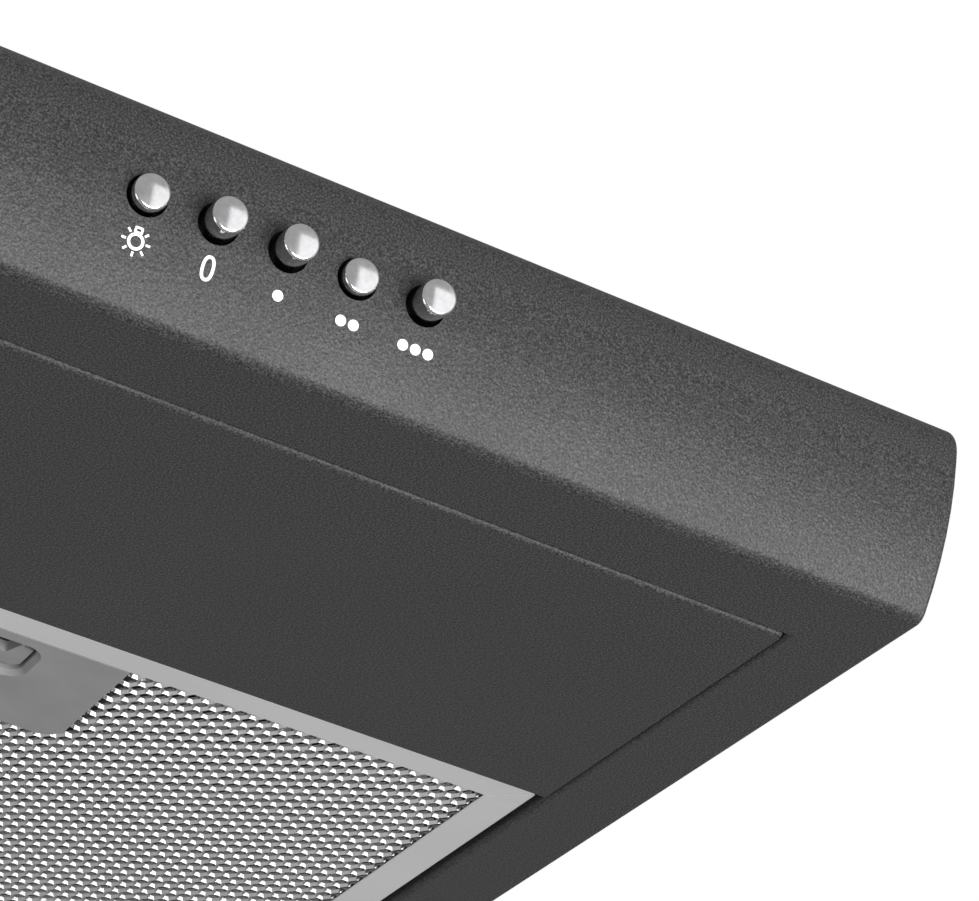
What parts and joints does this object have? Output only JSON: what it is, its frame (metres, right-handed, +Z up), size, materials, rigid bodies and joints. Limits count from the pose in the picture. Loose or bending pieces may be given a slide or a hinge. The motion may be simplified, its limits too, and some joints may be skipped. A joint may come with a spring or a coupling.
{
  "type": "under cabinet range hood",
  "caption": "Slim under-cabinet cooker hood: sheet-metal canopy with a rounded nose, push buttons, hinged mesh grease filters, blower and damped duct collar.",
  "frame": {"origin": "centre of the four cabinet screw holes, on the flat top face", "axes": "+X to the right seen from the front, along the hood; +Y towards the wall; +Z up, out of the top"},
  "size_m": [0.75, 0.4884, 0.175],
  "materials": {
    "powder_coat": "matte, fine texture",
    "frosted_lens": "frosted",
    "board": "satin",
    "black_plastic": "satin",
    "galvanised": "satin, spangled",
    "motor_can": "semi-gloss",
    "zinc_wire": "satin",
    "steel_screw": "satin",
    "wheel_plastic": "satin",
    "can_aluminium": "satin",
    "white_plastic": "satin",
    "grommet_rubber": "matte",
    "lead_sheath": "satin",
    "chrome_cap": "polished",
    "spring_steel": "bright",
    "filter_aluminium": "satin",
    "mesh_aluminium": "bright",
    "latch_grey": "satin"
  },
  "bodies": {
    "hood": {"back_panel": "powder_coat", "canopy_shell": "powder_coat", "damper_spindle": "steel_screw", "duct_collar": "galvanised", "inlet_guard": "zinc_wire", "junction_box": "galvanised", "junction_box_cover": "galvanised", "lamp_lead": "lead_sheath", "lamp_lens": "frosted_lens", "lamp_panel": "powder_coat", "led_board": "board", "led_driver": "black_plastic", "motor_body": "motor_can", "motor_lead": "lead_sheath", "motor_plate": "galvanised", "motor_screws": "steel_screw", "run_capacitor": "can_aluminium", "scroll_cover": "galvanised", "scroll_housing": "galvanised", "sheet_metal_screws": "steel_screw", "supply_grommet": "grommet_rubber", "switch_bracket": "galvanised", "switch_housing": "black_plastic", "switch_lead": "lead_sheath", "switch_screws": "steel_screw", "terminal_block": "white_plastic"},
    "blower_wheel": {"impeller": "wheel_plastic", "impeller_nut": "steel_screw", "motor_shaft": "steel_screw"},
    "damper_front": {"damper_flap_front": "black_plastic"},
    "damper_rear": {"damper_flap_rear": "black_plastic"},
    "light_button": {"light_button_cap": "chrome_cap", "light_button_plunger": "white_plastic", "light_button_spring": "spring_steel"},
    "off_button": {"off_button_cap": "chrome_cap", "off_button_plunger": "white_plastic", "off_button_spring": "spring_steel"},
    "low_button": {"low_button_cap": "chrome_cap", "low_button_plunger": "white_plastic", "low_button_spring": "spring_steel"},
    "medium_button": {"medium_button_cap": "chrome_cap", "medium_button_plunger": "white_plastic", "medium_button_spring": "spring_steel"},
    "high_button": {"high_button_cap": "chrome_cap", "high_button_plunger": "white_plastic", "high_button_spring": "spring_steel"},
    "filter_left": {"left_filter_frame": "filter_aluminium", "left_filter_lower_mesh": "mesh_aluminium", "left_filter_upper_mesh": "mesh_aluminium", "left_latch_plate": "latch_grey"},
    "latch_left": {"left_latch_slide": "latch_grey", "left_latch_spring": "spring_steel"},
    "filter_right": {"right_filter_frame": "filter_aluminium", "right_filter_lower_mesh": "mesh_aluminium", "right_filter_upper_mesh": "mesh_aluminium", "right_latch_plate": "latch_grey"},
    "latch_right": {"right_latch_slide": "latch_grey", "right_latch_spring": "spring_steel"}
  },
  "joints": [
    {"name": "blower_wheel_spin", "type": "hinge", "parent": "hood", "child": "blower_wheel", "pos_m": [-0.11, -0.002, -0.064], "axis": [0, 0, 1], "continuous": true},
    {"name": "damper_front_swing", "type": "hinge", "parent": "hood", "child": "damper_front", "pos_m": [0.07, 0.065, 0.02], "axis": [-1, 0, 0], "range_deg": [0, 75]},
    {"name": "damper_rear_swing", "type": "hinge", "parent": "hood", "child": "damper_rear", "pos_m": [0.07, 0.065, 0.02], "axis": [1, 0, 0], "range_deg": [0, 75]},
    {"name": "light_button_press", "type": "slide", "parent": "hood", "child": "light_button", "axis": [0, 0.9831, 0.1833], "range_m": [-0.0052, 0.0005], "deforming": ["light_button_spring"]},
    {"name": "off_button_press", "type": "slide", "parent": "hood", "child": "off_button", "axis": [0, 0.9831, 0.1833], "range_m": [0, 0.0055], "stiffness_N_per_m": 150, "springref_m": -0.008, "deforming": ["off_button_spring"]},
    {"name": "low_button_press", "type": "slide", "parent": "hood", "child": "low_button", "axis": [0, 0.9831, 0.1833], "range_m": [0, 0.0055], "stiffness_N_per_m": 150, "springref_m": -0.008, "deforming": ["low_button_spring"]},
    {"name": "medium_button_press", "type": "slide", "parent": "hood", "child": "medium_button", "axis": [0, 0.9831, 0.1833], "range_m": [-0.0052, 0.0005], "deforming": ["medium_button_spring"]},
    {"name": "high_button_press", "type": "slide", "parent": "hood", "child": "high_button", "axis": [0, 0.9831, 0.1833], "range_m": [0, 0.0055], "stiffness_N_per_m": 150, "springref_m": -0.008, "deforming": ["high_button_spring"]},
    {"name": "filter_left_swing", "type": "hinge", "parent": "hood", "child": "filter_left", "pos_m": [-0.174, 0.1262, -0.1284], "axis": [1, 0, 0], "range_deg": [0, 75]},
    {"name": "latch_left_slide", "type": "slide", "parent": "filter_left", "child": "latch_left", "axis": [0, 1, 0], "range_m": [0, 0.002], "stiffness_N_per_m": 400, "springref_m": -0.004, "deforming": ["left_latch_spring"]},
    {"name": "filter_right_swing", "type": "hinge", "parent": "hood", "child": "filter_right", "pos_m": [0.174, 0.1262, -0.1284], "axis": [1, 0, 0], "range_deg": [0, 75]},
    {"name": "latch_right_slide", "type": "slide", "parent": "filter_right", "child": "latch_right", "axis": [0, 1, 0], "range_m": [0, 0.002], "stiffness_N_per_m": 400, "springref_m": -0.004, "deforming": ["right_latch_spring"]}
  ]
}
